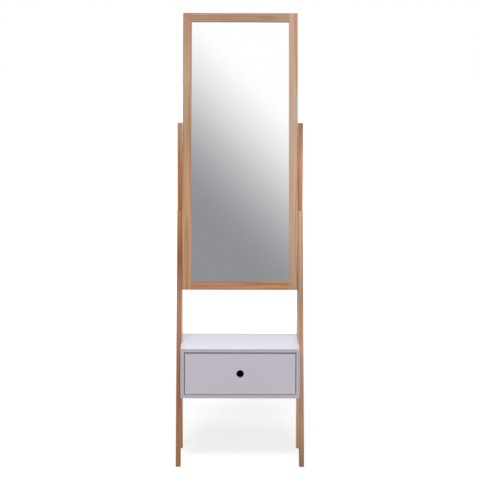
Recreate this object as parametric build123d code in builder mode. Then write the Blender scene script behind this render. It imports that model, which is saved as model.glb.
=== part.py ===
from build123d import *
from math import atan2, cos, radians, sin, tan
import os

# Standing mirror with a drawer. Sizes are in millimetres.
# X runs to the right seen from the front, Y to the back and Z up.
# The origin is on the floor, under the middle of the whole width and depth.

# Side frames: a straight rear post and a leaning front leg on each side
overall_width = 430
base_depth = 300
pivot_height = 1050
post_above_pivot = 86
front_leg_height = 837
front_leg_top_depth = 28
upright_thickness = 16.5
upright_depth = 35
upright_rounding = 2
upright_end_chamfer = 1

# Glides nailed under the four feet
glide_thickness = 0.8
glide_radius = 6.5
glide_nail_radius = 0.9
glide_nail_length = 12

# Drawer box between the side frames
box_floor_height = 234
box_height = 167
board_thickness = 12
board_rounding = 1
back_board_thickness = 3
back_rebate_width = 6

# Drawer, set flush into the box
front_gap_side = 2
front_gap_top = 2.5
front_gap_bottom = 1.5
finger_hole_radius = 12.5
drawer_depth = 267
drawer_side_height = 105
drawer_side_lift = 4
drawer_side_clearance = 2.5
drawer_bottom_thickness = 4
drawer_bottom_groove = 5
drawer_bottom_lift = 8

# Wooden runners in the grooves of the drawer sides
runner_thickness = 8
runner_height = 14
runner_length = 248
runner_stop_distance = 30
runner_play = 0.6

# Mirror frame and what it holds
frame_height = 955
frame_depth = 20
frame_member_width = 30
frame_rounding = 2
frame_tilt = 11
frame_gap = 1
rebate_width = 8
rebate_lip = 8
glass_thickness = 4
glass_margin = 1
backing_thickness = 3
point_width = 8
point_length = 14
point_depth_in_wood = 6
point_thickness = 0.6
points_per_stile = 4
points_per_rail = 2
point_end_distance = 95

# Pivot: a flat-headed bolt through each post into a threaded insert
pivot_above_middle = 10
bolt_radius = 3
bolt_head_radius = 7
bolt_head_height = 4
bolt_socket_width = 4
bolt_socket_depth = 2.5
bolt_grip_in_insert = 12
bolt_running_clearance = 0.05
bolt_head_clearance = 0.3
insert_radius = 5
insert_length = 16
washer_radius = 9

# Dowels and screws, all glued or driven into holes a little wider and deeper than themselves
bar_sides = 8
glue_gap = 0.05
hole_end_space = 1
dowel_radius = 3
board_dowel_length = 24
board_dowel_in_face = 8
board_dowel_end_distance = 42
drawer_dowel_edge_distance = 26
leg_dowel_radius = 4
leg_dowel_length = 34
leg_dowel_in_post = 18
leg_dowel_spacing = 15
frame_dowel_length = 40
frame_dowel_edge_distance = 7
frame_dowel_spacing = 9
box_screw_length = 25
box_screw_radius = 2
box_screw_head_radius = 4
box_screw_edge_distance = 38
runner_screw_length = 16
runner_screw_end_distance = 20
small_screw_radius = 1.6
small_screw_head_radius = 3.2
bottom_screw_length = 14
bottom_screw_spacing = 115

# Places that follow from the sizes, first across the width
inner_x = overall_width / 2 - upright_thickness
upright_x = inner_x + upright_thickness / 2
box_inner_x = inner_x - board_thickness
drawer_outer_x = box_inner_x - drawer_side_clearance
drawer_inner_x = drawer_outer_x - board_thickness
frame_width = 2 * (inner_x - frame_gap)
stile_x = frame_width / 2 - frame_member_width / 2
opening_width = frame_width - 2 * frame_member_width
opening_height = frame_height - 2 * frame_member_width

# Depths, with the front toes as the foremost point and the tilted frame's top as the rearmost
tilt = radians(frame_tilt)
frame_top_reach = frame_height / 2 - pivot_above_middle - frame_rounding
frame_back_reach = frame_depth / 2 - frame_rounding
pivot_from_toes = base_depth - upright_depth / 2
rearmost = frame_top_reach * sin(tilt) + frame_back_reach * cos(tilt) + frame_rounding
toes_y = -(pivot_from_toes + rearmost) / 2
back_y = toes_y + base_depth
box_middle_y = toes_y + base_depth / 2
post_y = back_y - upright_depth / 2
post_front_y = back_y - upright_depth
pivot_y = toes_y + pivot_from_toes

# The leaning leg runs from the toe to a narrow level top in front of the post
post_height = pivot_height + post_above_pivot
foot_z = glide_thickness
leg_run = post_front_y - front_leg_top_depth - toes_y
leg_rise = front_leg_height - foot_z
lean = atan2(leg_run, leg_rise)
leg_section_depth = upright_depth / cos(lean)


def leg_front_y(height):
    """Y of the leaning leg's front face at a height above its sole."""
    return toes_y + (height - foot_z) * tan(lean)


def leg_middle_y(height):
    """Y of the leaning leg's middle at a height above the floor."""
    return leg_front_y(height) + leg_section_depth / 2


# Heights in the box
box_top_z = box_floor_height + box_height
bay_floor_z = box_floor_height + board_thickness
bay_ceiling_z = box_top_z - board_thickness
bay_height = bay_ceiling_z - bay_floor_z
bay_middle_z = bay_floor_z + bay_height / 2
box_width = 2 * inner_x
drawer_side_z = bay_floor_z + drawer_side_lift
drawer_side_front_y = toes_y + board_thickness
drawer_back_y = toes_y + drawer_depth
drawer_side_length = drawer_depth - board_thickness
drawer_bottom_z = drawer_side_z + drawer_bottom_lift
runner_front_y = drawer_side_front_y + runner_stop_distance
runner_top_z = drawer_side_z + drawer_side_height / 2 + runner_height / 2
drawer_side_top_z = drawer_side_z + drawer_side_height

LEFT, RIGHT = (-1, 0, 0), (1, 0, 0)
FRONT, BACK = (0, -1, 0), (0, 1, 0)
DOWN, UP = (0, 0, -1), (0, 0, 1)


def facing(x, y, z, direction):
    """Plane on a joint face, whose normal points along the bar that goes through it."""
    return Plane(origin=(x, y, z), z_dir=direction)


def dowels(planes, radius, ahead, behind):
    """One bar through each plane, reaching ahead of it and behind it."""
    with BuildPart() as bars:
        with BuildSketch(*[plane.offset(-behind) for plane in planes]):
            RegularPolygon(radius, bar_sides)
        extrude(amount=ahead + behind)
    return bars.part


def drilled(planes, radius, ahead, behind):
    """The holes for the same dowels, wider by the glue gap and deeper at both ends."""
    return dowels(planes, radius + glue_gap, ahead + hole_end_space, behind + hole_end_space)


def screws(planes, radius, head_radius, length):
    """Countersunk screws, each with its flat head on a plane and its shank behind it."""
    head_height = head_radius - radius
    with BuildPart() as steel:
        with BuildSketch(*planes):
            RegularPolygon(head_radius, bar_sides)
        extrude(amount=-head_height, taper=45)
        with BuildSketch(*[plane.offset(-length) for plane in planes]):
            RegularPolygon(radius, bar_sides)
        extrude(amount=length)
    return steel.part


def countersunk(planes, radius, head_radius, length):
    """The holes for the same screws."""
    return screws(planes, radius + glue_gap, head_radius + glue_gap, length + hole_end_space)


# Where the fasteners of the right side go; the left side mirrors them
leg_dowel_planes = [
    facing(upright_x, post_front_y, front_leg_height - leg_dowel_spacing * (step + 0.5), BACK)
    for step in range(2)
]
leg_dowel_size = (leg_dowel_radius, leg_dowel_in_post, leg_dowel_length - leg_dowel_in_post)

box_screw_planes = [
    facing(box_inner_x, y, z, LEFT)
    for z in (bay_floor_z + box_screw_edge_distance, bay_ceiling_z - box_screw_edge_distance)
    for y in (leg_middle_y(z), post_y)
]
box_screw_size = (box_screw_radius, box_screw_head_radius, box_screw_length)

runner_face_x = box_inner_x - runner_thickness
runner_middle_z = runner_top_z - runner_height / 2
runner_back_y = runner_front_y + runner_length
runner_screw_planes = [
    facing(runner_face_x, y, runner_middle_z, LEFT)
    for y in (
        runner_front_y + runner_screw_end_distance,
        (runner_front_y + runner_back_y) / 2,
        runner_back_y - runner_screw_end_distance,
    )
]
runner_screw_size = (small_screw_radius, small_screw_head_radius, runner_screw_length)

board_dowel_x = box_inner_x + board_thickness / 2
board_dowel_depths = (
    toes_y + board_dowel_end_distance,
    box_middle_y,
    back_y - board_dowel_end_distance,
)
top_dowel_planes = [facing(board_dowel_x, y, bay_ceiling_z, UP) for y in board_dowel_depths]
bottom_dowel_planes = [facing(board_dowel_x, y, bay_floor_z, DOWN) for y in board_dowel_depths]
box_dowel_planes = top_dowel_planes + bottom_dowel_planes
board_dowel_size = (dowel_radius, board_dowel_in_face, board_dowel_length - board_dowel_in_face)

drawer_side_x = drawer_outer_x - board_thickness / 2
drawer_back_middle_y = drawer_back_y - board_thickness / 2
drawer_dowel_planes = [
    plane
    for z in (
        drawer_side_z + drawer_dowel_edge_distance,
        drawer_side_top_z - drawer_dowel_edge_distance,
    )
    for plane in (
        facing(drawer_side_x, drawer_side_front_y, z, FRONT),
        facing(drawer_inner_x, drawer_back_middle_y, z, RIGHT),
    )
]

# Glides: a round pad with a nail, under each foot
glide_spots = [(side * upright_x, y) for side in (-1, 1) for y in (leg_middle_y(foot_z), post_y)]
glide_nail_planes = [facing(x, y, foot_z, UP) for x, y in glide_spots]
glide_holes = drilled(glide_nail_planes, glide_nail_radius, glide_nail_length, 0)

with BuildPart() as foot_glides:
    with BuildSketch():
        with Locations(*glide_spots):
            Circle(glide_radius)
    extrude(amount=glide_thickness)
    add(dowels(glide_nail_planes, glide_nail_radius, glide_nail_length, 0))

# Rear post: upright batten with the pivot hole near its top
with BuildPart() as right_post:
    with BuildSketch(Plane.XY.offset(foot_z)):
        with Locations((upright_x, post_y)):
            Rectangle(upright_thickness, upright_depth)
    extrude(amount=post_height - foot_z)
    fillet(right_post.edges().filter_by(Axis.Z), upright_rounding)
    chamfer(right_post.faces().sort_by(Axis.Z)[-1].edges(), upright_end_chamfer)
    with Locations(facing(inner_x + upright_thickness, pivot_y, pivot_height, RIGHT)):
        CounterBoreHole(
            bolt_radius + bolt_running_clearance,
            bolt_head_radius + bolt_head_clearance,
            bolt_head_height,
        )
    add(drilled(leg_dowel_planes, *leg_dowel_size), mode=Mode.SUBTRACT)
    add(countersunk(box_screw_planes, *box_screw_size), mode=Mode.SUBTRACT)
    add(glide_holes, mode=Mode.SUBTRACT)

with BuildPart() as left_post:
    mirror(right_post.part, about=Plane.YZ)

# Front leg: leans back to the post, with a level sole, a level top and an upright back cut
leg_back_meets_post_z = foot_z + (post_front_y - toes_y - leg_section_depth) / tan(lean)
with BuildPart() as right_front_leg:
    with BuildSketch(Plane.YZ.offset(inner_x)):
        with BuildLine():
            Polyline(
                (toes_y, foot_z),
                (toes_y + leg_section_depth, foot_z),
                (post_front_y, leg_back_meets_post_z),
                (post_front_y, front_leg_height),
                (leg_front_y(front_leg_height), front_leg_height),
                close=True,
            )
        make_face()
    extrude(amount=upright_thickness)
    long_edges = right_front_leg.edges().filter_by(Axis((0, 0, 0), (0, sin(lean), cos(lean))))
    fillet(long_edges, upright_rounding)
    add(drilled(leg_dowel_planes, *leg_dowel_size), mode=Mode.SUBTRACT)
    add(countersunk(box_screw_planes, *box_screw_size), mode=Mode.SUBTRACT)
    add(glide_holes, mode=Mode.SUBTRACT)

with BuildPart() as left_front_leg:
    mirror(right_front_leg.part, about=Plane.YZ)

# Two dowels hold each front leg to its post
with BuildPart() as leg_dowels:
    add(dowels(leg_dowel_planes, *leg_dowel_size))
    mirror(leg_dowels.part, about=Plane.YZ)

# Box boards: the top and bottom run over the ends of the sides
with BuildPart() as box_top:
    with BuildSketch(Plane.XY.offset(bay_ceiling_z)):
        with Locations((0, box_middle_y)):
            Rectangle(box_width, base_depth)
    extrude(amount=board_thickness)
    fillet(box_top.faces().sort_by(Axis.Z)[-1].edges(), board_rounding)
    with BuildSketch(Plane.XY.offset(bay_ceiling_z)):
        with Locations((0, back_y - back_board_thickness / 2)):
            Rectangle(2 * (box_inner_x + back_rebate_width), back_board_thickness)
    extrude(amount=back_rebate_width, mode=Mode.SUBTRACT)
    top_holes = drilled(top_dowel_planes, *board_dowel_size)
    add(top_holes, mode=Mode.SUBTRACT)
    add(top_holes.mirror(Plane.YZ), mode=Mode.SUBTRACT)

with BuildPart() as box_bottom:
    mirror(box_top.part, about=Plane.XY.offset(bay_middle_z))

with BuildPart() as box_right_side:
    with BuildSketch(Plane.XY.offset(bay_floor_z)):
        with Locations((board_dowel_x, box_middle_y)):
            Rectangle(board_thickness, base_depth)
        with Locations((box_inner_x + back_rebate_width / 2, back_y - back_board_thickness / 2)):
            Rectangle(back_rebate_width, back_board_thickness, mode=Mode.SUBTRACT)
    extrude(amount=bay_height)
    add(drilled(box_dowel_planes, *board_dowel_size), mode=Mode.SUBTRACT)
    add(countersunk(box_screw_planes, *box_screw_size), mode=Mode.SUBTRACT)
    add(countersunk(runner_screw_planes, *runner_screw_size), mode=Mode.SUBTRACT)

with BuildPart() as box_left_side:
    mirror(box_right_side.part, about=Plane.YZ)

# Thin board let into a rebate round the back of the box
with BuildPart() as box_back:
    with BuildSketch(Plane.XZ.offset(-back_y)):
        with Locations((0, bay_middle_z)):
            Rectangle(
                2 * (box_inner_x + back_rebate_width - glue_gap),
                bay_height + 2 * (back_rebate_width - glue_gap),
            )
    extrude(amount=back_board_thickness)

with BuildPart() as box_dowels:
    add(dowels(box_dowel_planes, *board_dowel_size))
    mirror(box_dowels.part, about=Plane.YZ)

# Screws from inside the box into the legs and posts, out of sight behind the drawer
with BuildPart() as box_screws:
    add(screws(box_screw_planes, *box_screw_size))
    mirror(box_screws.part, about=Plane.YZ)

# Runners: battens on the box sides that carry the drawer and stop it when it is shut
with BuildPart() as right_runner:
    with BuildSketch(Plane.XY.offset(runner_top_z - runner_height)):
        with Locations((box_inner_x - runner_thickness / 2, runner_front_y + runner_length / 2)):
            Rectangle(runner_thickness, runner_length)
    extrude(amount=runner_height)
    add(countersunk(runner_screw_planes, *runner_screw_size), mode=Mode.SUBTRACT)

with BuildPart() as left_runner:
    mirror(right_runner.part, about=Plane.YZ)

with BuildPart() as runner_screws:
    add(screws(runner_screw_planes, *runner_screw_size))
    mirror(runner_screws.part, about=Plane.YZ)

# Drawer front: flush in the box, with a round finger hole in place of a handle
front_width = 2 * (box_inner_x - front_gap_side)
front_height = bay_height - front_gap_top - front_gap_bottom
front_middle_z = bay_floor_z + front_gap_bottom + front_height / 2
bottom_half_width = drawer_inner_x + drawer_bottom_groove
bottom_front_y = drawer_side_front_y - drawer_bottom_groove
drawer_holes = drilled(drawer_dowel_planes, *board_dowel_size)

with BuildPart() as drawer_front:
    with BuildSketch(Plane.XZ.offset(-toes_y - board_thickness)):
        with Locations((0, front_middle_z)):
            Rectangle(front_width, front_height)
    extrude(amount=board_thickness)
    fillet(drawer_front.faces().sort_by(Axis.Y)[0].edges(), board_rounding)
    with Locations(facing(0, toes_y, front_middle_z, FRONT)):
        Hole(finger_hole_radius)
    with BuildSketch(Plane.XY.offset(drawer_bottom_z)):
        with Locations((0, drawer_side_front_y - drawer_bottom_groove / 2)):
            Rectangle(2 * bottom_half_width, drawer_bottom_groove)
    extrude(amount=drawer_bottom_thickness, mode=Mode.SUBTRACT)
    add(drawer_holes, mode=Mode.SUBTRACT)
    add(drawer_holes.mirror(Plane.YZ), mode=Mode.SUBTRACT)

# Drawer side: a long groove outside for the runner, a small one inside for the bottom
runner_groove_depth = runner_thickness - drawer_side_clearance + runner_play
bottom_groove_x = drawer_inner_x + drawer_bottom_groove / 2
runner_groove_x = drawer_outer_x - runner_groove_depth / 2
runner_groove_z = runner_top_z - (runner_height + runner_play) / 2

with BuildPart() as drawer_right_side:
    with BuildSketch(Plane.XZ.offset(-drawer_back_y)):
        with Locations((drawer_side_x, drawer_side_z + drawer_side_height / 2)):
            Rectangle(board_thickness, drawer_side_height)
        with Locations((bottom_groove_x, drawer_bottom_z + drawer_bottom_thickness / 2)):
            Rectangle(drawer_bottom_groove, drawer_bottom_thickness, mode=Mode.SUBTRACT)
    extrude(amount=drawer_side_length)
    with BuildSketch(Plane.XZ.offset(-drawer_back_y)):
        with Locations((runner_groove_x, runner_groove_z)):
            Rectangle(runner_groove_depth, runner_height + runner_play)
    extrude(amount=drawer_back_y - runner_front_y, mode=Mode.SUBTRACT)
    add(drawer_holes, mode=Mode.SUBTRACT)

with BuildPart() as drawer_left_side:
    mirror(drawer_right_side.part, about=Plane.YZ)

# Drawer back: between the sides, standing on the bottom board
bottom_top_z = drawer_bottom_z + drawer_bottom_thickness
bottom_screw_planes = [
    facing(x, drawer_back_middle_y, drawer_bottom_z, DOWN)
    for x in (-bottom_screw_spacing, 0, bottom_screw_spacing)
]
bottom_screw_size = (small_screw_radius, small_screw_head_radius, bottom_screw_length)
bottom_holes = countersunk(bottom_screw_planes, *bottom_screw_size)

with BuildPart() as drawer_back:
    with BuildSketch(Plane.XZ.offset(-drawer_back_y)):
        with Locations((0, (drawer_side_top_z + bottom_top_z) / 2)):
            Rectangle(2 * drawer_inner_x, drawer_side_top_z - bottom_top_z)
    extrude(amount=board_thickness)
    add(drawer_holes, mode=Mode.SUBTRACT)
    add(drawer_holes.mirror(Plane.YZ), mode=Mode.SUBTRACT)
    add(bottom_holes, mode=Mode.SUBTRACT)

# Drawer bottom: slides in from behind, under the back, and is screwed up into it
bottom_length = drawer_back_y - bottom_front_y
with BuildPart() as drawer_bottom:
    with BuildSketch(Plane.XY.offset(drawer_bottom_z)):
        with Locations((0, bottom_front_y + bottom_length / 2)):
            Rectangle(2 * (bottom_half_width - glue_gap), bottom_length)
    extrude(amount=drawer_bottom_thickness)
    add(bottom_holes, mode=Mode.SUBTRACT)

with BuildPart() as drawer_bottom_screws:
    add(screws(bottom_screw_planes, *bottom_screw_size))

with BuildPart() as drawer_dowels:
    add(dowels(drawer_dowel_planes, *board_dowel_size))
    mirror(drawer_dowels.part, about=Plane.YZ)

# Mirror frame, drawn on its own tilted plane: x across, y up the frame, z out of its face
frame_plane = Plane(
    origin=(0, pivot_y, pivot_height),
    x_dir=(1, 0, 0),
    z_dir=(0, -cos(tilt), sin(tilt)),
)
frame_back_plane = frame_plane.offset(-frame_depth / 2)
frame_middle = -pivot_above_middle
rail_middle = opening_height / 2 + frame_member_width / 2
rebate_depth = frame_depth - rebate_lip
glass_width = opening_width + 2 * (rebate_width - glass_margin)
glass_height = opening_height + 2 * (rebate_width - glass_margin)
glass_front = frame_depth / 2 - rebate_lip
backing_front = glass_front - glass_thickness
backing_back = backing_front - backing_thickness

# Dowels across the four corners, in the outer part of each rail
frame_dowel_planes = [
    Plane(
        origin=frame_plane.from_local_coords((opening_width / 2, frame_middle + end * height, 0)),
        x_dir=frame_plane.y_dir,
        z_dir=RIGHT,
    )
    for end in (-1, 1)
    for height in (
        frame_height / 2 - frame_dowel_edge_distance,
        frame_height / 2 - frame_dowel_edge_distance - frame_dowel_spacing,
    )
]
frame_dowel_size = (dowel_radius, frame_dowel_length / 2, frame_dowel_length / 2)
frame_holes = drilled(frame_dowel_planes, *frame_dowel_size)

# Steel points pressed into the rebate walls behind the backing board
point_offset = rebate_width + point_depth_in_wood - point_length / 2
point_z = backing_back - point_thickness / 2
stile_point_step = (opening_height - 2 * point_end_distance) / (points_per_stile - 1)
rail_point_step = opening_width / points_per_rail
stile_point_spots = [
    (
        side * (opening_width / 2 + point_offset),
        frame_middle + (step - (points_per_stile - 1) / 2) * stile_point_step,
        point_z,
    )
    for side in (-1, 1)
    for step in range(points_per_stile)
]
rail_point_spots = [
    (
        (step - (points_per_rail - 1) / 2) * rail_point_step,
        frame_middle + end * (opening_height / 2 + point_offset),
        point_z,
    )
    for end in (-1, 1)
    for step in range(points_per_rail)
]

with BuildPart(frame_plane) as backing_points:
    with Locations(*stile_point_spots):
        Box(point_length, point_width, point_thickness)
    with Locations(*rail_point_spots):
        Box(point_width, point_length, point_thickness)

# Stile: runs the full height, rounded outside, with a stopped rebate and the pivot insert's seat
with BuildPart() as right_stile:
    with BuildSketch(frame_back_plane):
        with Locations((stile_x, frame_middle)):
            Rectangle(frame_member_width, frame_height)
    extrude(amount=frame_depth)
    fillet(right_stile.faces().sort_by(Axis.X)[-1].edges(), frame_rounding)
    up_the_frame = Axis((0, 0, 0), frame_plane.y_dir)
    end_faces = right_stile.faces().filter_by(up_the_frame)
    fillet(end_faces.edges().filter_by(Axis.X), frame_rounding - glue_gap)
    with BuildSketch(frame_back_plane):
        with Locations((opening_width / 2 + rebate_width / 2, frame_middle)):
            Rectangle(rebate_width, opening_height + 2 * rebate_width)
    extrude(amount=rebate_depth, mode=Mode.SUBTRACT)
    add(frame_holes, mode=Mode.SUBTRACT)
    add(backing_points.part, mode=Mode.SUBTRACT)
    with Locations(facing(frame_width / 2, pivot_y, pivot_height, RIGHT)):
        Hole(insert_radius, insert_length)

with BuildPart() as left_stile:
    mirror(right_stile.part, about=Plane.YZ)

# Rail: butts between the stiles, rounded outside, with the same rebate inside
with BuildPart() as top_rail:
    with BuildSketch(frame_back_plane):
        with Locations((0, frame_middle + rail_middle)):
            Rectangle(opening_width, frame_member_width)
    extrude(amount=frame_depth)
    outer_face = top_rail.faces().sort_by(up_the_frame)[-1]
    fillet(outer_face.edges().filter_by(Axis.X), frame_rounding)
    with BuildSketch(frame_back_plane):
        with Locations((0, frame_middle + opening_height / 2 + rebate_width / 2)):
            Rectangle(opening_width, rebate_width)
    extrude(amount=rebate_depth, mode=Mode.SUBTRACT)
    add(frame_holes, mode=Mode.SUBTRACT)
    add(frame_holes.mirror(Plane.YZ), mode=Mode.SUBTRACT)
    add(backing_points.part, mode=Mode.SUBTRACT)

frame_middle_plane = Plane(
    origin=frame_plane.from_local_coords((0, frame_middle, 0)),
    x_dir=(1, 0, 0),
    z_dir=frame_plane.y_dir,
)
with BuildPart() as bottom_rail:
    mirror(top_rail.part, about=frame_middle_plane)

with BuildPart() as frame_dowels:
    add(dowels(frame_dowel_planes, *frame_dowel_size))
    mirror(frame_dowels.part, about=Plane.YZ)

# Glass and backing lie in the rebate, one behind the other
with BuildPart() as mirror_glass:
    with BuildSketch(frame_plane.offset(backing_front)):
        with Locations((0, frame_middle)):
            Rectangle(glass_width, glass_height)
    extrude(amount=glass_thickness)

with BuildPart() as backing_board:
    with BuildSketch(frame_plane.offset(backing_back)):
        with Locations((0, frame_middle)):
            Rectangle(glass_width, glass_height)
    extrude(amount=backing_thickness)

# Pivot on each side: insert in the stile, washer in the gap, bolt through the post
with BuildPart() as pivot_inserts:
    with BuildSketch(facing(frame_width / 2 - insert_length, pivot_y, pivot_height, RIGHT)):
        Circle(insert_radius)
        Circle(bolt_radius + glue_gap, mode=Mode.SUBTRACT)
    extrude(amount=insert_length)
    mirror(pivot_inserts.part, about=Plane.YZ)

with BuildPart() as pivot_washers:
    with BuildSketch(facing(inner_x - frame_gap, pivot_y, pivot_height, RIGHT)):
        Circle(washer_radius)
        Circle(bolt_radius + bolt_running_clearance, mode=Mode.SUBTRACT)
    extrude(amount=frame_gap)
    mirror(pivot_washers.part, about=Plane.YZ)

outer_x = overall_width / 2
head_seat_x = outer_x - bolt_head_height
bolt_tip_x = frame_width / 2 - bolt_grip_in_insert
with BuildPart() as pivot_bolts:
    with BuildSketch(facing(bolt_tip_x, pivot_y, pivot_height, RIGHT)):
        Circle(bolt_radius)
    extrude(amount=head_seat_x - bolt_tip_x)
    with BuildSketch(facing(head_seat_x, pivot_y, pivot_height, RIGHT)):
        Circle(bolt_head_radius)
    extrude(amount=bolt_head_height)
    with BuildSketch(facing(outer_x - bolt_socket_depth, pivot_y, pivot_height, RIGHT)):
        RegularPolygon(bolt_socket_width / 2, 6, major_radius=False)
    extrude(amount=bolt_socket_depth, mode=Mode.SUBTRACT)
    mirror(pivot_bolts.part, about=Plane.YZ)

# Each piece goes to its own file, named after the piece
pieces = {
    "left_post": left_post,
    "right_post": right_post,
    "left_front_leg": left_front_leg,
    "right_front_leg": right_front_leg,
    "leg_dowels": leg_dowels,
    "foot_glides": foot_glides,
    "box_top": box_top,
    "box_bottom": box_bottom,
    "box_left_side": box_left_side,
    "box_right_side": box_right_side,
    "box_back": box_back,
    "box_dowels": box_dowels,
    "box_screws": box_screws,
    "left_runner": left_runner,
    "right_runner": right_runner,
    "runner_screws": runner_screws,
    "drawer_front": drawer_front,
    "drawer_left_side": drawer_left_side,
    "drawer_right_side": drawer_right_side,
    "drawer_back": drawer_back,
    "drawer_bottom": drawer_bottom,
    "drawer_bottom_screws": drawer_bottom_screws,
    "drawer_dowels": drawer_dowels,
    "left_stile": left_stile,
    "right_stile": right_stile,
    "top_rail": top_rail,
    "bottom_rail": bottom_rail,
    "frame_dowels": frame_dowels,
    "mirror_glass": mirror_glass,
    "backing_board": backing_board,
    "backing_points": backing_points,
    "pivot_inserts": pivot_inserts,
    "pivot_washers": pivot_washers,
    "pivot_bolts": pivot_bolts,
}
os.makedirs("parts", exist_ok=True)
for piece_name, piece in pieces.items():
    piece.part.label = piece_name
    export_step(piece.part, f"parts/{piece_name}.step")
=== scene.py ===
from math import radians

import bmesh
import bpy
import numpy as np
from mathutils import Matrix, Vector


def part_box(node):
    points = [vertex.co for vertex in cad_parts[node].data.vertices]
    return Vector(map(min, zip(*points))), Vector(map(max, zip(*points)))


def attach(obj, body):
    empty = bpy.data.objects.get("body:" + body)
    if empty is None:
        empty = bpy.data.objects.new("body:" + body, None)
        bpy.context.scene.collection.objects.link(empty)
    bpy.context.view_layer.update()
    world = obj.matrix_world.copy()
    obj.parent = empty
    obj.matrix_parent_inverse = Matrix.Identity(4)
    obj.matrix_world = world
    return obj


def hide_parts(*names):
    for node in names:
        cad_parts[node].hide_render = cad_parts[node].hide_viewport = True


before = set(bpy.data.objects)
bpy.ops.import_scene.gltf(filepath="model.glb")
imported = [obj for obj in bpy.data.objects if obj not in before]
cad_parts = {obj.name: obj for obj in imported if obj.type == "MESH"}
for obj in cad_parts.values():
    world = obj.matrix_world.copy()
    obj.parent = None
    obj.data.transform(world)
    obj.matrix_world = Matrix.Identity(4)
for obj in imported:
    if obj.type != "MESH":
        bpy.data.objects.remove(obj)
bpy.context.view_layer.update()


# Rear posts: two upright pine battens, planed square with lightly rounded corners and clear
# satin lacquer. Each was cut from its own board, so its rings are its own. The left post is
# darker than the right, partly its own board and partly painted shade where the light fell
# weaker on the left, and both are paled at mid height just above the box: a painted pool of light.
def add_node(tree, kind, inputs=None, **settings):
    """A new shader node with its settings, its numbers, and its links from other nodes' sockets."""
    made = tree.nodes.new(kind)
    for name, value in settings.items():
        setattr(made, name, value)
    for name, value in (inputs or {}).items():
        if isinstance(value, bpy.types.NodeSocket):
            tree.links.new(value, made.inputs[name])
        else:
            made.inputs[name].default_value = value
    return made


def shader(name, **numbers):
    """A new material with a plain Principled shader, its node tree, and that shader."""
    material = bpy.data.materials.new(name)
    material.use_nodes = True
    tree = material.node_tree
    surface = tree.nodes["Principled BSDF"]
    for socket, value in numbers.items():
        surface.inputs[socket.replace("_", " ")].default_value = value
    return material, tree, surface


def colour(red, green, blue):
    """A display colour from 0 to 255 as the linear colour that a shader takes."""
    display = np.array([red, green, blue]) / 255
    linear = np.where(display <= 0.04045, display / 12.92, ((display + 0.055) / 1.055) ** 2.4)
    return (*linear.tolist(), 1.0)


def blended(tree, how, share, first, second):
    """The colour from laying the second colour over the first."""
    mix = add_node(tree, "ShaderNodeMix", data_type="RGBA", blend_type=how, inputs={0: share})
    for place, value in ((6, first), (7, second)):
        if isinstance(value, bpy.types.NodeSocket):
            tree.links.new(value, mix.inputs[place])
        else:
            mix.inputs[place].default_value = value
    return mix.outputs[2]


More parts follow.
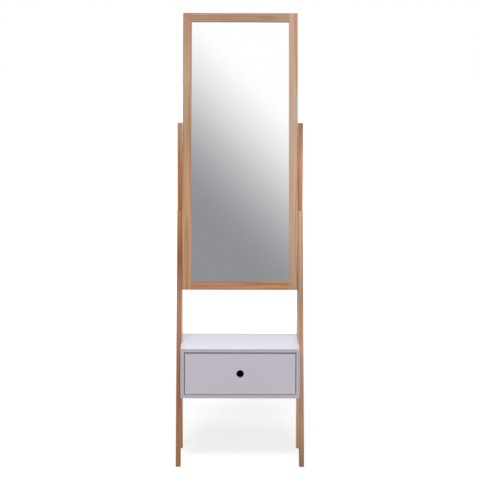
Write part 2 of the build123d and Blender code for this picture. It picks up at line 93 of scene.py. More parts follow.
def pine(name, pith, turn, grain_from, grain_to, tones_and_light, ring_width=0.0055, seed=0.0,
         underside=1.0):
    """Lacquered pine. Growth rings are cylinders round the pith line, which runs along the board
    and wanders a little. A ring darkens slowly from spring wood to summer wood and then breaks
    off sharply. Fibres are noise drawn out along the grain. The colour follows the board's length
    and carries the light and shade that fell along it as well as the wood's own tone: partly
    painted light. A face that looks down keeps only the underside's share of it: painted shade."""
    material, tree, surface = shader(
        name, Coat_Weight=0.14, Coat_Roughness=0.28, Specular_IOR_Level=0.3)
    place = add_node(tree, "ShaderNodeTexCoord")
    board = add_node(tree, "ShaderNodeMapping", vector_type="TEXTURE", inputs={
        "Vector": place.outputs["Object"], "Location": pith, "Rotation": turn})
    drawn_out = add_node(tree, "ShaderNodeVectorMath", operation="MULTIPLY", inputs={
        0: board.outputs[0], 1: (1, 1, 0.09)})
    shifted = add_node(tree, "ShaderNodeVectorMath", operation="ADD", inputs={
        0: drawn_out.outputs[0], 1: (seed, seed * 0.7, seed * 1.3)})
    wander = add_node(tree, "ShaderNodeTexNoise", inputs={
        "Vector": shifted.outputs[0], "Scale": 21.0, "Detail": 2.0, "Roughness": 0.5})
    wander_by = add_node(tree, "ShaderNodeVectorMath", operation="MULTIPLY_ADD", inputs={
        0: wander.outputs["Color"], 1: (0.016, 0.016, 0), 2: (-0.008, -0.008, 0)})
    rippled = add_node(tree, "ShaderNodeVectorMath", operation="ADD", inputs={
        0: board.outputs[0], 1: wander_by.outputs[0]})
    crosswise = add_node(tree, "ShaderNodeVectorMath", operation="MULTIPLY", inputs={
        0: rippled.outputs[0], 1: (1, 1, 0)})
    from_pith = add_node(tree, "ShaderNodeVectorMath", operation="LENGTH", inputs={
        0: crosswise.outputs[0]})
    years = add_node(tree, "ShaderNodeMath", operation="DIVIDE", inputs={
        0: from_pith.outputs["Value"], 1: ring_width})
    good_years = add_node(tree, "ShaderNodeTexNoise", noise_dimensions="1D", inputs={
        "W": years.outputs[0], "Scale": 0.45, "Detail": 1.0})
    uneven_years = add_node(tree, "ShaderNodeMath", operation="MULTIPLY_ADD", inputs={
        0: good_years.outputs[0], 1: 1.8, 2: years.outputs[0]})
    season = add_node(tree, "ShaderNodeMath", operation="FRACT", inputs={
        0: uneven_years.outputs[0]})
    ring = add_node(tree, "ShaderNodeValToRGB", inputs={0: season.outputs[0]})
    stops = ring.color_ramp.elements
    stops[0].position, stops[0].color = 0.0, (1, 1, 1, 1)
    stops[1].position, stops[1].color = 1.0, (0.9, 0.9, 0.9, 1)
    for position, shade in ((0.45, 0.93), (0.72, 0.66), (0.86, 0.0), (0.93, 0.12)):
        stop = stops.new(position)
        stop.color = (shade, shade, shade, 1)
    long_fibres = add_node(tree, "ShaderNodeVectorMath", operation="MULTIPLY", inputs={
        0: board.outputs[0], 1: (1, 1, 0.012)})
    fibre = add_node(tree, "ShaderNodeTexNoise", inputs={
        "Vector": long_fibres.outputs[0], "Scale": 1500.0, "Detail": 3.0, "Roughness": 0.6})
    streak = add_node(tree, "ShaderNodeTexNoise", inputs={
        "Vector": long_fibres.outputs[0], "Scale": 330.0, "Detail": 2.0, "Roughness": 0.55})
    along = add_node(tree, "ShaderNodeSeparateXYZ", inputs={0: board.outputs[0]})
    share = add_node(tree, "ShaderNodeMapRange", inputs={
        "Value": along.outputs["Z"], "From Min": grain_from, "From Max": grain_to})
    tone = add_node(tree, "ShaderNodeValToRGB", inputs={0: share.outputs[0]})
    marks = tone.color_ramp.elements
    marks[0].position, marks[0].color = tones_and_light[0][0], colour(*tones_and_light[0][1])
    marks[1].position, marks[1].color = tones_and_light[-1][0], colour(*tones_and_light[-1][1])
    for position, shade in tones_and_light[1:-1]:
        marks.new(position).color = colour(*shade)
    ring_tint = blended(tree, "MIX", ring.outputs[0], (0.80, 0.69, 0.58, 1), (1.05, 1.05, 1.05, 1))
    wood = blended(tree, "MULTIPLY", 0.85, tone.outputs[0], ring_tint)
    streak_tint = add_node(tree, "ShaderNodeMapRange", inputs={
        "Value": streak.outputs[0], "From Min": 0.3, "From Max": 0.7, "To Min": 0.86, "To Max": 1.12})
    fibre_tint = add_node(tree, "ShaderNodeMapRange", inputs={
        "Value": fibre.outputs[0], "From Min": 0.3, "From Max": 0.7, "To Min": 0.93, "To Max": 1.06})
    both_tints = add_node(tree, "ShaderNodeMath", operation="MULTIPLY", inputs={
        0: streak_tint.outputs[0], 1: fibre_tint.outputs[0]})
    facing = add_node(tree, "ShaderNodeSeparateXYZ", inputs={0: place.outputs["Normal"]})
    # Faces that look down are darkened to the underside's share: painted shade.
    painted_underside_shade = add_node(tree, "ShaderNodeMapRange", inputs={
        "Value": facing.outputs["Z"], "From Min": -0.8, "From Max": -0.3, "To Min": underside})
    all_tints = add_node(tree, "ShaderNodeMath", operation="MULTIPLY", inputs={
        0: both_tints.outputs[0], 1: painted_underside_shade.outputs[0]})
    tinted = add_node(tree, "ShaderNodeVectorMath", operation="SCALE", inputs={
        0: wood, "Scale": all_tints.outputs[0]})
    tree.links.new(tinted.outputs[0], surface.inputs["Base Color"])
    gloss = add_node(tree, "ShaderNodeMapRange", inputs={
        "Value": fibre.outputs[0], "To Min": 0.36, "To Max": 0.52})
    tree.links.new(gloss.outputs[0], surface.inputs["Roughness"])
    relief = add_node(tree, "ShaderNodeMath", operation="MULTIPLY_ADD", inputs={
        0: fibre.outputs[0], 1: 0.6, 2: ring.outputs[0]})
    bump = add_node(tree, "ShaderNodeBump", inputs={
        "Height": relief.outputs[0], "Strength": 0.25, "Distance": 0.00025})
    tree.links.new(bump.outputs[0], surface.inputs["Normal"])
    return material


def finish_in(material, *nodes):
    """Gives the CAD pieces their finish."""
    for node in nodes:
        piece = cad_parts[node]
        piece.data.materials.clear()
        piece.data.materials.append(material)


post_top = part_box("right_post")[1].z
# The pale stop at 0.45 of each post's height is a painted pool of light.
finish_in(pine("pine_left_post", (-0.235, 0.128, 0), (0, 0, 0), 0, post_top, [
    (0.0, (188, 122, 86)), (0.2, (198, 136, 102)), (0.45, (243, 220, 186)),
    (0.76, (175, 123, 79)), (0.88, (177, 119, 76)), (1.0, (179, 140, 116))], seed=1.3), "left_post")
finish_in(pine("pine_right_post", (0.240, 0.132, 0), (0, 0, 0), 0, post_top, [
    (0.0, (233, 178, 135)), (0.2, (233, 193, 147)), (0.45, (243, 220, 184)),
    (0.76, (196, 142, 101)), (0.9, (199, 144, 103)), (1.0, (155, 116, 93))], seed=2.1), "right_post")


# Front legs: the same pine batten leaned back against the post, cut level at the floor and at
# the top, and upright where it meets the post. The left one is redder and darker: partly a
# redder board and partly painted shade where the light fell weaker on the left.
leg_lean = radians(-15.84)
leg_along = 0.87
# The left leg's darker colour is partly painted shade.
finish_in(pine("pine_left_leg", (-0.232, -0.150, 0), (leg_lean, 0, 0), 0, leg_along, [
    (0.0, (156, 107, 75)), (0.3, (170, 110, 72)), (0.62, (171, 122, 94)),
    (0.8, (142, 74, 32)), (1.0, (172, 115, 62))], seed=3.7), "left_front_leg")
finish_in(pine("pine_right_leg", (0.236, -0.158, 0), (leg_lean, 0, 0), 0, leg_along, [
    (0.0, (148, 106, 76)), (0.35, (197, 155, 129)), (0.65, (166, 129, 99)),
    (1.0, (205, 165, 135))], seed=4.9), "right_front_leg")


# Leg dowels: two plain beech pins glued across each joint of leg and post, out of sight.
# The same beech makes every dowel in the box, the drawer and the mirror frame.
def beech(name, tone):
    """Plain planed beech: short dark flecks drawn out along the grain over a soft mottle."""
    material, tree, surface = shader(name, Roughness=0.6)
    place = add_node(tree, "ShaderNodeTexCoord")
    stretched = add_node(tree, "ShaderNodeVectorMath", operation="MULTIPLY", inputs={
        0: place.outputs["Object"], 1: (1, 0.12, 1)})
    flecks = add_node(tree, "ShaderNodeTexVoronoi", inputs={
        "Vector": stretched.outputs[0], "Scale": 900.0})
    fleck = add_node(tree, "ShaderNodeMapRange", inputs={
        "Value": flecks.outputs["Distance"], "From Min": 0.1, "From Max": 0.35,
        "To Min": 0.82, "To Max": 1.0})
    mottle = add_node(tree, "ShaderNodeTexNoise", inputs={
        "Vector": stretched.outputs[0], "Scale": 120.0, "Detail": 3.0})
    cloud = add_node(tree, "ShaderNodeMapRange", inputs={
        "Value": mottle.outputs[0], "To Min": 0.88, "To Max": 1.1})
    shade = add_node(tree, "ShaderNodeMath", operation="MULTIPLY", inputs={
        0: fleck.outputs[0], 1: cloud.outputs[0]})
    tinted = add_node(tree, "ShaderNodeVectorMath", operation="SCALE", inputs={
        0: colour(*tone)[:3], "Scale": shade.outputs[0]})
    tree.links.new(tinted.outputs[0], surface.inputs["Base Color"])
    bump = add_node(tree, "ShaderNodeBump", inputs={
        "Height": flecks.outputs["Distance"], "Strength": 0.2, "Distance": 0.0001})
    tree.links.new(bump.outputs[0], surface.inputs["Normal"])
    return material


beech_dowel = beech("beech_dowel", (214, 180, 134))
finish_in(beech_dowel, "leg_dowels")


# Foot glides: dark moulded plastic pads with a nail, tapped up into the sole of each foot.
# Their plastic has a fine spark-eroded texture with slightly uneven gloss.
def moulded(name, tone, roughness, grain=700.0):
    """Moulded plastic: a fine spark-eroded texture with slightly uneven gloss."""
    material, tree, surface = shader(name)
    place = add_node(tree, "ShaderNodeTexCoord")
    spark = add_node(tree, "ShaderNodeTexNoise", inputs={
        "Vector": place.outputs["Object"], "Scale": grain, "Detail": 2.0})
    shade = add_node(tree, "ShaderNodeMapRange", inputs={
        "Value": spark.outputs[0], "To Min": 0.9, "To Max": 1.1})
    tinted = add_node(tree, "ShaderNodeVectorMath", operation="SCALE", inputs={
        0: colour(*tone)[:3], "Scale": shade.outputs[0]})
    tree.links.new(tinted.outputs[0], surface.inputs["Base Color"])
    gloss = add_node(tree, "ShaderNodeMapRange", inputs={
        "Value": spark.outputs[0], "To Min": roughness - 0.08, "To Max": roughness + 0.08})
    tree.links.new(gloss.outputs[0], surface.inputs["Roughness"])
    bump = add_node(tree, "ShaderNodeBump", inputs={
        "Height": spark.outputs[0], "Strength": 0.3, "Distance": 0.0001})
    tree.links.new(bump.outputs[0], surface.inputs["Normal"])
    return material


finish_in(moulded("glide_plastic", (64, 58, 54), 0.55), "foot_glides")


# Box top, bottom and sides: thin boards doweled together and sprayed satin white as one box.
# The paint keeps a faint orange peel and a hint of lilac.
def painted(name, front, flank, shadow_band=None):
    """Satin paint on board: a very fine orange peel, and slow faint changes of tone and gloss.
    Faces that look to the front or back have one tone and all the others have another. Cut edges
    drink a little more paint and dry darker, but the split also holds painted shade: a dark flank
    tone paints the shade in the gaps round a drawer front. A height range near the top, when
    given, fades to the flank tone as a painted shadow."""
    material, tree, surface = shader(name)
    place = add_node(tree, "ShaderNodeTexCoord")
    peel = add_node(tree, "ShaderNodeTexNoise", inputs={
        "Vector": place.outputs["Object"], "Scale": 620.0, "Detail": 2.0, "Roughness": 0.4})
    drift = add_node(tree, "ShaderNodeTexNoise", inputs={
        "Vector": place.outputs["Object"], "Scale": 9.0, "Detail": 3.0})
    shade = add_node(tree, "ShaderNodeMapRange", inputs={
        "Value": drift.outputs[0], "From Min": 0.3, "From Max": 0.7, "To Min": 0.985, "To Max": 1.015})
    facing = add_node(tree, "ShaderNodeSeparateXYZ", inputs={0: place.outputs["Normal"]})
    end_on = add_node(tree, "ShaderNodeMath", operation="ABSOLUTE", inputs={0: facing.outputs["Y"]})
    looks_out = add_node(tree, "ShaderNodeMapRange", inputs={
        "Value": end_on.outputs[0], "From Min": 0.8, "From Max": 0.95})
    coat = blended(tree, "MIX", looks_out.outputs[0], colour(*flank), colour(*front))
    # Over the given height range the colour fades to the flank tone: a painted shadow under the edge
    # above.
    if shadow_band:
        height = add_node(tree, "ShaderNodeSeparateXYZ", inputs={0: place.outputs["Object"]})
        top_shadow = add_node(tree, "ShaderNodeMapRange", inputs={
            "Value": height.outputs["Z"], "From Min": shadow_band[0], "From Max": shadow_band[1]})
        coat = blended(tree, "MIX", top_shadow.outputs[0], coat, colour(*flank))
    tinted = add_node(tree, "ShaderNodeVectorMath", operation="SCALE", inputs={
        0: coat, "Scale": shade.outputs[0]})
    tree.links.new(tinted.outputs[0], surface.inputs["Base Color"])
    gloss = add_node(tree, "ShaderNodeMapRange", inputs={
        "Value": drift.outputs[0], "To Min": 0.28, "To Max": 0.40})
    tree.links.new(gloss.outputs[0], surface.inputs["Roughness"])
    bump = add_node(tree, "ShaderNodeBump", inputs={
        "Height": peel.outputs[0], "Strength": 0.12, "Distance": 0.0002})
    tree.links.new(bump.outputs[0], surface.inputs["Normal"])
    return material


# The grey front colour is for the boards' cut edges: partly paint drunk by the edges and partly painted
# shade beside the gaps. The top and sides are a lighter white than the drawer front: painted light from
# above against painted shade on the front.
white_box = painted("white_box_paint", front=(184, 180, 187), flank=(231, 230, 243))
finish_in(white_box, "box_top", "box_bottom", "box_left_side", "box_right_side")
finish_in(beech_dowel, "box_dowels")


# Box screws: zinc-plated countersunk screws, driven from inside the box into legs and posts.
# Each has a cross recess, a coarse rolled thread and a drawn-out point.
def countersunk_screws(name, places, radius, head_radius, length, pitch=0.0022):
    """Screws as one mesh. Each is a grid of rings from the middle of the head to the point.
    The head's depth is a cross: full inside either arm and nothing outside both. The shank's
    radius rises and falls with the angle less the turns made so far, which is a helix."""
    around = 40
    turn = np.linspace(0, 2 * np.pi, around, endpoint=False)[None]
    cone = head_radius - radius
    head_rings = np.linspace(0, 0.96, 15) * head_radius
    neck = len(head_rings) + 1
    shank_rings = np.linspace(cone, length, int(length / pitch * 8))
    tip = np.clip((length - shank_rings) / 0.005, 0, 1)
    reach = np.concatenate([head_rings, [head_radius], shank_rings])
    depth = np.concatenate([0 * head_rings, [0.00015], shank_rings])
    reach = np.repeat(reach[:, None], around, 1)
    depth = np.repeat(depth[:, None], around, 1)
    arm = np.minimum(np.abs(reach * np.sin(turn)), np.abs(reach * np.cos(turn)))
    inside = (arm < head_radius * 0.16) & (reach < head_radius * 0.62)
    inside[neck - 1:] = False
    depth += inside * cone * (0.9 - reach / head_radius)
    crest = 0.5 + 0.5 * np.cos(turn - 2 * np.pi * shank_rings[:, None] / pitch)
    reach[neck:] = radius * (0.70 + 0.26 * crest) * tip[:, None] ** 0.7
    reach[neck] = radius * 0.96
    one = np.stack([reach * np.cos(turn), reach * np.sin(turn), -depth], -1).reshape(-1, 3)
    corner = np.arange(depth.size).reshape(depth.shape)
    quads = np.stack([corner[:-1], np.roll(corner[:-1], -1, 1), np.roll(corner[1:], -1, 1),
                      corner[1:]], -1).reshape(-1, 4)[:, ::-1]
    places, facings = np.array([p[0] for p in places]), np.array([p[1] for p in places], float)
    sides = np.cross(facings, np.roll(facings, 1, 1))
    axes = np.stack([sides, np.cross(facings, sides), facings], 1)
    points = np.einsum("vi,nij->nvj", one, axes) + places[:, None]
    faces = quads[None] + np.arange(len(places))[:, None, None] * len(one)
    mesh = bpy.data.meshes.new(name)
    mesh.from_pydata(points.reshape(-1, 3).tolist(), [], faces.reshape(-1, 4).tolist())
    shaped = bmesh.new()
    shaped.from_mesh(mesh)
    bmesh.ops.remove_doubles(shaped, verts=shaped.verts, dist=1e-6)
    bmesh.ops.recalc_face_normals(shaped, faces=shaped.faces)
    shaped.to_mesh(mesh)
    shaped.free()
    screws = bpy.data.objects.new(name, mesh)
    bpy.context.scene.collection.objects.link(screws)
    return screws


def plated(name, tone, roughness):
    """Plated steel: a thin bright coat with faint clouding and fine wear."""
    material, tree, surface = shader(name, Metallic=1.0)
    place = add_node(tree, "ShaderNodeTexCoord")
    cloud = add_node(tree, "ShaderNodeTexNoise", inputs={
        "Vector": place.outputs["Object"], "Scale": 420.0, "Detail": 4.0})
    shade = add_node(tree, "ShaderNodeMapRange", inputs={
        "Value": cloud.outputs[0], "To Min": 0.86, "To Max": 1.08})
    tinted = add_node(tree, "ShaderNodeVectorMath", operation="SCALE", inputs={
        0: colour(*tone)[:3], "Scale": shade.outputs[0]})
    tree.links.new(tinted.outputs[0], surface.inputs["Base Color"])
    gloss = add_node(tree, "ShaderNodeMapRange", inputs={
        "Value": cloud.outputs[0], "To Min": roughness - 0.1, "To Max": roughness + 0.12})
    tree.links.new(gloss.outputs[0], surface.inputs["Roughness"])
    return material


zinc = plated("zinc_plate", (190, 190, 196), 0.34)
box_inside = 0.1865
leg_screws = ((-0.09216, 0.284), (-0.07318, 0.351))
post_screws = ((0.09191, 0.284), (0.09191, 0.351))
box_screws = countersunk_screws("box_screws_threaded", [
    ((side * box_inside, y, z), (-side, 0, 0))
    for side in (-1, 1) for y, z in leg_screws + post_screws
], radius=0.002, head_radius=0.004, length=0.025)
box_screws.data.materials.append(zinc)
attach(box_screws, "stand")
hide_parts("box_screws")


# Box back: a thin brown hardboard panel let into the rebate at the back and pinned all round.
def hardboard(name, tone, mesh_print=0.0):
    """Pressed wood fibre: fine light and dark fibres in every direction over a brown ground."""
    material, tree, surface = shader(name)
    place = add_node(tree, "ShaderNodeTexCoord")
    fibre = add_node(tree, "ShaderNodeTexNoise", inputs={
        "Vector": place.outputs["Object"], "Scale": 480.0, "Detail": 5.0, "Roughness": 0.7,
        "Distortion": 1.2})
    clump = add_node(tree, "ShaderNodeTexNoise", inputs={
        "Vector": place.outputs["Object"], "Scale": 45.0, "Detail": 3.0})
    mixed = add_node(tree, "ShaderNodeMath", operation="MULTIPLY_ADD", inputs={
        0: clump.outputs[0], 1: 0.5, 2: fibre.outputs[0]})
    shade = add_node(tree, "ShaderNodeMapRange", inputs={
        "Value": mixed.outputs[0], "From Min": 0.5, "From Max": 1.0, "To Min": 0.78, "To Max": 1.2})
    tinted = add_node(tree, "ShaderNodeVectorMath", operation="SCALE", inputs={
        0: colour(*tone)[:3], "Scale": shade.outputs[0]})
    tree.links.new(tinted.outputs[0], surface.inputs["Base Color"])
    gloss = add_node(tree, "ShaderNodeMapRange", inputs={
        "Value": fibre.outputs[0], "To Min": 0.45, "To Max": 0.65})
    tree.links.new(gloss.outputs[0], surface.inputs["Roughness"])
    bump = add_node(tree, "ShaderNodeBump", inputs={
        "Height": mixed.outputs[0], "Strength": 0.3, "Distance": 0.00015})
    tree.links.new(bump.outputs[0], surface.inputs["Normal"])
    return material


brown_board = hardboard("brown_hardboard", (158, 120, 84))
finish_in(brown_board, "box_back")

# Steel pins: four along the top, four along the bottom and one at each side. Each head is a
# low dome, a profile of radius and height carried round the pin's axis.
back_low, back_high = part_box("box_back")
pin_radius, pin_edge, pin_reach = 0.0016, 0.003, 0.17
row = np.linspace(-pin_reach, pin_reach, 4)
pin_x = np.concatenate([row, row, [-0.1895, 0.1895]])
pin_z = np.concatenate([np.full(4, back_low.z + pin_edge), np.full(4, back_high.z - pin_edge),
                        np.full(2, (back_low.z + back_high.z) / 2)])
ring = np.array([0, 0.25, 0.5, 0.75, 1, 1, 0])[:, None]
rise = np.array([0.5, 0.47, 0.38, 0.22, 0.08, 0.01, 0.01])[:, None]
turn = np.linspace(0, 2 * np.pi, 16, endpoint=False)[None]
dome = np.stack(np.broadcast_arrays(pin_radius * ring * np.cos(turn), 0.001 * rise,
                                    pin_radius * ring * np.sin(turn)), -1).reshape(-1, 3)
corner = np.arange(len(dome)).reshape(ring.size, turn.size)
quads = np.stack([corner[:-1], np.roll(corner[:-1], -1, 1), np.roll(corner[1:], -1, 1),
                  corner[1:]], -1).reshape(-1, 4)
pin_place = np.stack([pin_x, np.full(len(pin_x), back_high.y), pin_z], -1)
mesh = bpy.data.meshes.new("back_pins")
mesh.from_pydata((dome[None] + pin_place[:, None]).reshape(-1, 3).tolist(), [],
                 (quads[None] + len(dome) * np.arange(len(pin_x))[:, None, None]).reshape(-1, 4).tolist())
shaped = bmesh.new()
shaped.from_mesh(mesh)
bmesh.ops.remove_doubles(shaped, verts=shaped.verts, dist=1e-6)
bmesh.ops.recalc_face_normals(shaped, faces=shaped.faces)
shaped.to_mesh(mesh)
shaped.free()
back_pins = bpy.data.objects.new("back_pins", mesh)
bpy.context.scene.collection.objects.link(back_pins)
back_pins.data.materials.append(zinc)
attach(back_pins, "stand")


# Runners: two planed beech battens screwed to the box sides.
finish_in(beech("beech_runner", (206, 170, 124)), "left_runner", "right_runner")
runner_inside, runner_middle = 0.1785, 0.3025
runner_screws = countersunk_screws("runner_screws_threaded", [
    ((side * runner_inside, y, runner_middle), (-side, 0, 0))
    for side in (-1, 1) for y in (-0.12859, -0.02459, 0.07941)
], radius=0.0016, head_radius=0.0032, length=0.016, pitch=0.0018)
runner_screws.data.materials.append(zinc)
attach(runner_screws, "stand")
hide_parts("runner_screws")


# Drawer: a white front on a doweled box of white boards, with a hardboard bottom held in
# grooves and screwed up into the back.
front_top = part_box("drawer_front")[1].z
# The dark flank tone on the front's edges is painted shade in the gaps, and the top few millimetres of
# the face fade to it as a painted shadow under the box top.
finish_in(painted("white_front_paint", front=(199, 192, 204), flank=(132, 127, 134),
                  shadow_band=(front_top - 0.0035, front_top - 0.0015)), "drawer_front")
finish_in(painted("white_drawer_paint", front=(222, 218, 226), flank=(226, 222, 230)),
          "drawer_left_side", "drawer_right_side", "drawer_back")
finish_in(brown_board, "drawer_bottom")
finish_in(beech_dowel, "drawer_dowels")
bottom_underside, back_board_middle = 0.258, 0.07041
bottom_screws = countersunk_screws("bottom_screws_threaded", [
    ((x, back_board_middle, bottom_underside), (0, 0, -1)) for x in (-0.115, 0, 0.115)
], radius=0.0016, head_radius=0.0032, length=0.014, pitch=0.0018)
bottom_screws.data.materials.append(zinc)
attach(bottom_screws, "drawer")
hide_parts("drawer_bottom_screws")


# Mirror frame: two full-height pine stiles with two rails doweled between them, all lacquered
# like the stand. Their grain runs along each member, so the corners show the change.
frame_lean = radians(-11)
# The stiles' colour along their length carries painted light and shade as well as the wood's tone; the
# left stile is the darker.
finish_in(pine("pine_left_stile", (-0.186, 0.118, 1.05), (frame_lean, 0, 0), -0.49, 0.47, [
    (0.0, (191, 144, 107)), (0.25, (191, 144, 107)), (0.5, (176, 135, 102)),
    (0.75, (183, 148, 118)), (1.0, (162, 118, 86))], seed=8.2), "left_stile")
finish_in(pine("pine_right_stile", (0.200, 0.122, 1.05), (frame_lean, 0, 0), -0.49, 0.47, [
    (0.0, (175, 147, 119)), (0.3, (197, 160, 130)), (0.6, (188, 160, 135)),
    (1.0, (190, 152, 126))], seed=9.4), "right_stile")
# The rails' undersides are darkened to 0.45 of their colour: painted shade under the rails.
finish_in(pine("pine_top_rail", (0, 0.196, 1.49), (0, radians(90), 0), -0.17, 0.17, [
    (0.0, (171, 131, 101)), (0.5, (168, 131, 102)), (1.0, (168, 130, 99))], seed=10.6,
    underside=0.45), "top_rail")
finish_in(pine("pine_bottom_rail", (0, 0.020, 0.588), (0, radians(90), 0), -0.17, 0.17, [
    (0.0, (179, 130, 94)), (0.5, (184, 136, 100)), (1.0, (181, 130, 90))],
    seed=11.8, underside=0.45), "bottom_rail")
finish_in(beech_dowel, "frame_dowels")


# Mirror glass: silvered float glass, flat and clear, lying in the frame's rebate.
material, tree, surface = shader("silvered_glass", Metallic=1.0)
place = add_node(tree, "ShaderNodeTexCoord")
haze = add_node(tree, "ShaderNodeTexNoise", inputs={
    "Vector": place.outputs["Object"], "Scale": 5.0, "Detail": 4.0})
silver = add_node(tree, "ShaderNodeMapRange", inputs={
    "Value": haze.outputs[0], "To Min": 0.985, "To Max": 1.0})
tinted = add_node(tree, "ShaderNodeVectorMath", operation="SCALE", inputs={
    0: (0.900, 0.903, 0.912), "Scale": silver.outputs[0]})
tree.links.new(tinted.outputs[0], surface.inputs["Base Color"])
film = add_node(tree, "ShaderNodeMapRange", inputs={
    "Value": haze.outputs[0], "From Min": 0.4, "From Max": 0.8, "To Min": 0.0, "To Max": 0.03})
tree.links.new(film.outputs[0], surface.inputs["Roughness"])
finish_in(material, "mirror_glass")


# Backing: brown hardboard behind the glass, held by steel points pressed into the rebate.
finish_in(brown_board, "backing_board")
finish_in(zinc, "backing_points")


# Pivots: a brass insert in each stile, a nylon washer in the gap and a nickel-plated bolt
# through the post, whose flat head is sunk in the outside.
brass = plated("turned_brass", (214, 176, 104), 0.32)
finish_in(brass, "pivot_inserts")
finish_in(moulded("nylon_washer", (214, 208, 196), 0.45, grain=400.0), "pivot_washers")
finish_in(plated("nickel_plate", (200, 196, 190), 0.24), "pivot_bolts")


# Stage: a pale floor, a wide curved wall far in front of the object, whose light fades from
# white at the upper right to grey at the lower left and which only the mirror sees, soft
# lamps, and the camera where the photograph was taken.
def stage_surface(name, points, across, up):
    """A grid of points as a mesh, with across by up corners."""
    corner = np.arange(across * up).reshape(up, across)
    quads = np.stack([corner[:-1, :-1], corner[:-1, 1:], corner[1:, 1:], corner[1:, :-1]], -1)
    mesh = bpy.data.meshes.new(name)
    mesh.from_pydata(points.reshape(-1, 3).tolist(), [], quads.reshape(-1, 4).tolist())
    surface_object = bpy.data.objects.new(name, mesh)
    bpy.context.scene.collection.objects.link(surface_object)
    return surface_object


floor_x, floor_y = np.meshgrid(np.linspace(-40, 40, 5), np.linspace(-40, 40, 5))
floor = stage_surface("floor", np.stack([floor_x, floor_y, 0 * floor_x], -1), 5, 5)
material, tree, surface = shader("pale_floor", Roughness=0.9)
surface.inputs["Base Color"].default_value = (0.66, 0.66, 0.66, 1)
seen = add_node(tree, "ShaderNodeLightPath")
seen_or_mirrored = add_node(tree, "ShaderNodeMath", operation="MAXIMUM", inputs={
    0: seen.outputs["Is Camera Ray"], 1: seen.outputs["Is Glossy Ray"]})
lifted = add_node(tree, "ShaderNodeMath", operation="MAXIMUM", inputs={
    0: seen_or_mirrored.outputs[0], 1: seen.outputs["Is Transmission Ray"]})
place = add_node(tree, "ShaderNodeTexCoord")
away = add_node(tree, "ShaderNodeVectorMath", operation="LENGTH", inputs={0: place.outputs["Object"]})
needed = add_node(tree, "ShaderNodeMapRange", inputs={
    "Value": away.outputs["Value"], "From Min": 0.5, "From Max": 4.0, "To Min": 0.60, "To Max": 0.90})
lift = add_node(tree, "ShaderNodeMath", operation="MULTIPLY", inputs={
    0: lifted.outputs[0], 1: needed.outputs[0]})
glow = add_node(tree, "ShaderNodeEmission", inputs={"Color": (1, 1, 1, 1), "Strength": lift.outputs[0]})
both = add_node(tree, "ShaderNodeAddShader", inputs={0: surface.outputs[0], 1: glow.outputs[0]})
tree.links.new(both.outputs[0], tree.nodes["Material Output"].inputs["Surface"])
floor.data.materials.append(material)

wall_turn, wall_height = np.meshgrid(np.radians(np.linspace(-100, 100, 61)), np.linspace(0, 9, 13))
wall_radius = 9.5
wall = stage_surface("far_wall", np.stack([
    wall_radius * np.sin(wall_turn), -wall_radius * np.cos(wall_turn), wall_height], -1), 61, 13)
material, tree, surface = shader("far_wall_light")
place = add_node(tree, "ShaderNodeTexCoord")
spot = add_node(tree, "ShaderNodeSeparateXYZ", inputs={0: place.outputs["Object"]})
darkest = 0.565
rightwards = add_node(tree, "ShaderNodeMath", operation="MULTIPLY_ADD", inputs={
    0: spot.outputs["X"], 1: 109.5, 2: -353.8})
upwards = add_node(tree, "ShaderNodeMath", operation="MULTIPLY_ADD", inputs={
    0: spot.outputs["Z"], 1: 104.3, 2: rightwards.outputs[0]})
fall = add_node(tree, "ShaderNodeMapRange", interpolation_type="SMOOTHSTEP", inputs={
    "Value": upwards.outputs[0], "From Min": -20.0, "From Max": 190.0,
    "To Min": darkest, "To Max": 1.0})
level = add_node(tree, "ShaderNodeMath", operation="POWER", inputs={0: fall.outputs[0], 1: 2.2})
strength = add_node(tree, "ShaderNodeMath", operation="DIVIDE", inputs={0: level.outputs[0], 1: 0.9})
fully_lit = add_node(tree, "ShaderNodeMapRange", inputs={
    "Value": fall.outputs[0], "From Min": darkest, "From Max": 0.9})
cast = blended(tree, "MIX", fully_lit.outputs[0], (0.965, 0.995, 1.03, 1), (1, 1, 1, 1))
glow = add_node(tree, "ShaderNodeEmission", inputs={"Color": cast, "Strength": strength.outputs[0]})
tree.links.new(glow.outputs[0], tree.nodes["Material Output"].inputs["Surface"])
wall.data.materials.append(material)
wall.visible_camera = False
wall.visible_diffuse = False
wall.visible_transmission = False
wall.visible_shadow = False

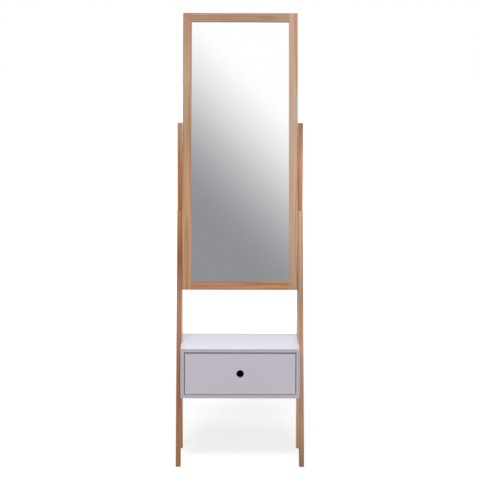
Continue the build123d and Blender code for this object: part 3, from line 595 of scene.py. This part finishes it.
world = bpy.data.worlds.new("studio")
world.use_nodes = True
bpy.context.scene.world = world
tree = world.node_tree
seen = add_node(tree, "ShaderNodeLightPath")
seen_or_mirrored = add_node(tree, "ShaderNodeMath", operation="MAXIMUM", inputs={
    0: seen.outputs["Is Camera Ray"], 1: seen.outputs["Is Glossy Ray"]})
plain_white = add_node(tree, "ShaderNodeMath", operation="MAXIMUM", inputs={
    0: seen_or_mirrored.outputs[0], 1: seen.outputs["Is Transmission Ray"]})
level = add_node(tree, "ShaderNodeMapRange", inputs={
    "Value": plain_white.outputs[0], "To Min": 0.36, "To Max": 1.0})
tree.links.new(level.outputs[0], tree.nodes["Background"].inputs["Strength"])
tree.nodes["Background"].inputs["Color"].default_value = (1, 1, 1, 1)


def soft_lamp(name, place, target, size, watts):
    """A square soft box at a place, facing a target."""
    lamp = bpy.data.lights.new(name, "AREA")
    lamp.shape = "SQUARE"
    lamp.size = size
    lamp.energy = watts
    lamp_object = bpy.data.objects.new(name, lamp)
    bpy.context.scene.collection.objects.link(lamp_object)
    back = np.array(place, float) - np.array(target, float)
    back /= np.linalg.norm(back)
    side = np.cross((0, 0.01, 1), back)
    side /= np.linalg.norm(side)
    turn = np.eye(4)
    turn[:3, 0], turn[:3, 1], turn[:3, 2], turn[:3, 3] = side, np.cross(back, side), back, place
    lamp_object.matrix_world = Matrix(turn.tolist())
    lamp_object.visible_camera = False
    return lamp_object


soft_lamp("key", (2.3, -4.6, 4.4), (0, 0, 0.8), 1.2, 18)
soft_lamp("overhead", (-0.3, -3.5, 5.1), (0, 0, 0.4), 2.4, 204)

lens = bpy.data.cameras.new("camera")
lens.sensor_width = 36
lens.lens = 132.67
camera_place, camera_turn, camera_dip, camera_roll = (-0.0404, -5.9783, 1.4553), -0.383, 6.798, 0.168
camera = bpy.data.objects.new("camera", lens)
bpy.context.scene.collection.objects.link(camera)
camera.matrix_world = (
    Matrix.Translation(camera_place)
    @ Matrix.Rotation(radians(camera_turn), 4, "Z")
    @ Matrix.Rotation(radians(90 - camera_dip), 4, "X")
    @ Matrix.Rotation(radians(camera_roll), 4, "Z"))
bpy.context.scene.camera = camera
bpy.context.scene.view_settings.view_transform = "Standard"
